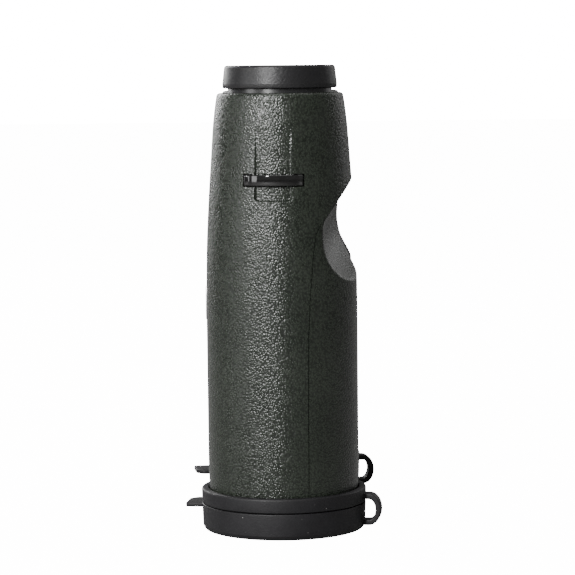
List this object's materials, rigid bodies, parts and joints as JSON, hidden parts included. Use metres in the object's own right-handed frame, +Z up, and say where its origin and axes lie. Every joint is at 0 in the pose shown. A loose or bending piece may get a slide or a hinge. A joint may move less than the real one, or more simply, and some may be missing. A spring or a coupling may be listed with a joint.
{
  "type": "roof-prism binoculars",
  "caption": "Hand-held roof-prism binoculars with armoured folding barrels, centre focus wheel, twist-up eyecups and tethered objective covers, standing on the covers.",
  "frame": {"origin": "centre of the box's underside, where the closed objective covers stand", "axes": "+Z up towards the eyepieces, +Y from the left barrel to the right barrel, -X the side of the focus wheel"},
  "size_m": [0.0662, 0.1302, 0.155],
  "materials": {
    "armour_green": "fine pebbled dark green rubber",
    "eyecup_black": "matte black rubber with a fine grain",
    "cover_black": "matte black moulded rubber",
    "sleeve_black": "smooth black plastic",
    "lug_black": "gloss black lacquer",
    "metal_black": "satin black anodised",
    "housing_metal": "satin dark grey paint",
    "brass": "turned",
    "steel": "ground",
    "optical_glass": "coated and polished"
  },
  "bodies": {
    "left_barrel": {"armour_wrap_left": "armour_green", "armour_panel_left": "armour_green", "housing_left": "housing_metal", "objective_cell_left": "metal_black", "objective_front_left": "optical_glass", "objective_rear_left": "optical_glass", "prism_frame_left": "metal_black", "prism_lower_left": "optical_glass", "prism_roof_left": "optical_glass", "eyepiece_tube_left": "metal_black", "field_lens_left": "optical_glass", "eye_lens_left": "optical_glass", "strap_bar_left": "lug_black", "badge_plate": "steel", "hinge_sleeve": "brass", "hinge_pin": "steel", "hinge_end_cap": "metal_black"},
    "right_barrel": {"armour_wrap_right": "armour_green", "armour_panel_right": "armour_green", "housing_right": "housing_metal", "objective_cell_right": "metal_black", "objective_front_right": "optical_glass", "objective_rear_right": "optical_glass", "prism_frame_right": "metal_black", "prism_lower_right": "optical_glass", "prism_roof_right": "optical_glass", "eyepiece_tube_right": "metal_black", "field_lens_right": "optical_glass", "eye_lens_right": "optical_glass", "strap_bar_right": "lug_black"},
    "focus_drive": {"focus_spindle": "steel", "focus_wheel": "metal_black", "focus_wheel_grip": "eyecup_black"},
    "focus_nut": {"focus_nut": "brass"},
    "left_focus_carriage": {"focus_carrier_left": "brass", "focus_cell_left": "metal_black", "focus_lens_left": "optical_glass"},
    "right_focus_carriage": {"focus_carrier_right": "brass"},
    "right_focus_cell": {"focus_cell_right": "metal_black", "focus_lens_right": "optical_glass"},
    "dioptre_dial": {"dioptre_dial": "metal_black"},
    "left_eyecup_lift": {"eyecup_glide_left": "brass"},
    "left_eyecup": {"eyecup_sleeve_left": "sleeve_black", "eyecup_rubber_left": "eyecup_black"},
    "left_cover": {"cover_ring_left": "cover_black"},
    "left_cover_cap": {"cover_cap_left": "cover_black"},
    "right_eyecup_lift": {"eyecup_glide_right": "brass"},
    "right_eyecup": {"eyecup_sleeve_right": "sleeve_black", "eyecup_rubber_right": "eyecup_black"},
    "right_cover": {"cover_ring_right": "cover_black"},
    "right_cover_cap": {"cover_cap_right": "cover_black"}
  },
  "joints": [
    {"name": "barrel_fold", "type": "hinge", "parent": "left_barrel", "child": "right_barrel", "pos_m": [-0.011, 0, 0], "axis": [0, 0, 1], "range_deg": [-50, 8]},
    {"name": "focus_turn", "type": "hinge", "parent": "left_barrel", "child": "focus_drive", "pos_m": [-0.011, 0, 0], "axis": [0, 0, 1], "range_deg": [-226, 226]},
    {"name": "focus_nut_travel", "type": "slide", "parent": "left_barrel", "child": "focus_nut", "axis": [0, 0, 1], "range_m": [-0.0025, 0.0025]},
    {"name": "left_lens_travel", "type": "slide", "parent": "left_barrel", "child": "left_focus_carriage", "axis": [0, 0, 1], "range_m": [-0.0026, 0.0026]},
    {"name": "right_lens_travel", "type": "slide", "parent": "right_barrel", "child": "right_focus_carriage", "axis": [0, 0, 1], "range_m": [-0.0026, 0.0026]},
    {"name": "dioptre_turn", "type": "hinge", "parent": "left_barrel", "child": "dioptre_dial", "pos_m": [-0.011, 0, 0], "axis": [0, 0, 1], "range_deg": [-61, 61]},
    {"name": "dioptre_travel", "type": "slide", "parent": "right_focus_carriage", "child": "right_focus_cell", "axis": [0, 0, 1], "range_m": [-0.00055, 0.00055]},
    {"name": "left_eyecup_rise", "type": "slide", "parent": "left_barrel", "child": "left_eyecup_lift", "axis": [0, 0, 1], "range_m": [0, 0.0094]},
    {"name": "left_eyecup_twist", "type": "hinge", "parent": "left_eyecup_lift", "child": "left_eyecup", "pos_m": [0, -0.0375, 0], "axis": [0, 0, 1], "range_deg": [0, 211]},
    {"name": "left_cover_off", "type": "slide", "parent": "left_barrel", "child": "left_cover", "axis": [0, 0, 1], "range_m": [-0.04, 0]},
    {"name": "left_cap_swing", "type": "hinge", "parent": "left_cover", "child": "left_cover_cap", "pos_m": [0.03268, -0.04209, 0.0065], "axis": [-0.1392, -0.9903, 0], "range_deg": [0, 140]},
    {"name": "right_eyecup_rise", "type": "slide", "parent": "right_barrel", "child": "right_eyecup_lift", "axis": [0, 0, 1], "range_m": [0, 0.0094]},
    {"name": "right_eyecup_twist", "type": "hinge", "parent": "right_eyecup_lift", "child": "right_eyecup", "pos_m": [0, 0.0375, 0], "axis": [0, 0, 1], "range_deg": [0, 211]},
    {"name": "right_cover_off", "type": "slide", "parent": "right_barrel", "child": "right_cover", "axis": [0, 0, 1], "range_m": [-0.04, 0]},
    {"name": "right_cap_swing", "type": "hinge", "parent": "right_cover", "child": "right_cover_cap", "pos_m": [0.03268, 0.04209, 0.0065], "axis": [0.1392, -0.9903, 0], "range_deg": [0, 140]}
  ],
  "couplings": [
    {"joint": "focus_turn", "follows": "focus_nut_travel", "rad_per_m": 1570.8},
    {"joint": "left_lens_travel", "follows": "focus_nut_travel", "ratio": 1},
    {"joint": "right_lens_travel", "follows": "focus_nut_travel", "ratio": 1},
    {"joint": "dioptre_turn", "follows": "dioptre_travel", "rad_per_m": 1904},
    {"joint": "left_eyecup_twist", "follows": "left_eyecup_rise", "rad_per_m": 389.91},
    {"joint": "right_eyecup_twist", "follows": "right_eyecup_rise", "rad_per_m": 389.91}
  ]
}
